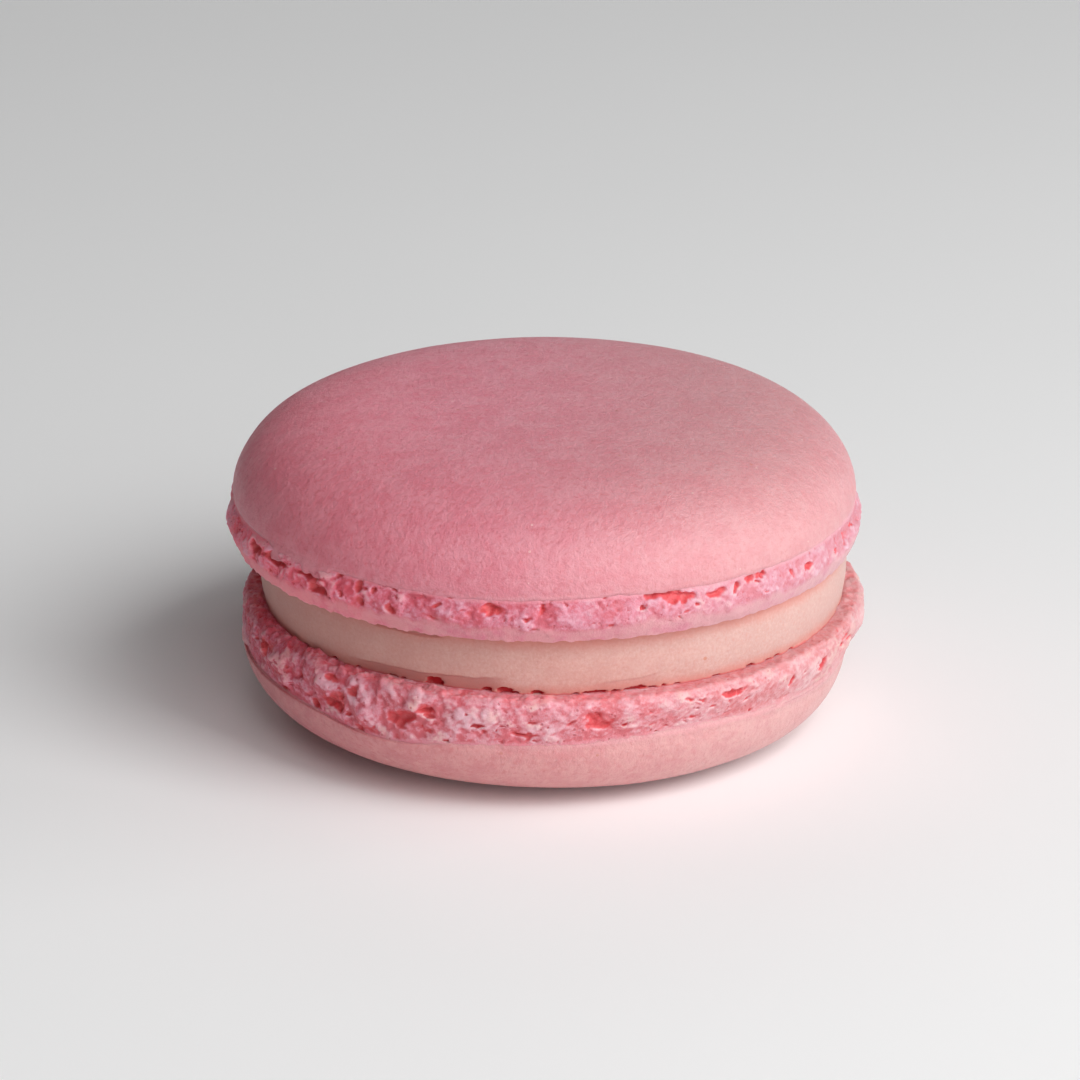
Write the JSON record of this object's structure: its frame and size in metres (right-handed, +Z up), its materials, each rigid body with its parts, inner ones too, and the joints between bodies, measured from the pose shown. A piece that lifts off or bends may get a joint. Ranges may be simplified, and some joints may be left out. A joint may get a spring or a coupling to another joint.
{
  "type": "french macaron",
  "caption": "Round almond meringue sandwich: smooth domed shells with craggy feet around a layer of cream.",
  "frame": {"origin": "on the table, under the middle of the bounding box", "axes": "+Z up through the middle of both domes, -Y towards the side that is seen in the picture, +X to its right"},
  "size_m": [0.0466, 0.0463, 0.0236],
  "materials": {
    "shell": "satin, slightly mottled pink meringue crust",
    "filling": "smooth matte cream"
  },
  "bodies": {
    "root": {"bottom_shell": "shell", "filling": "filling", "top_shell": "shell"}
  },
  "joints": []
}
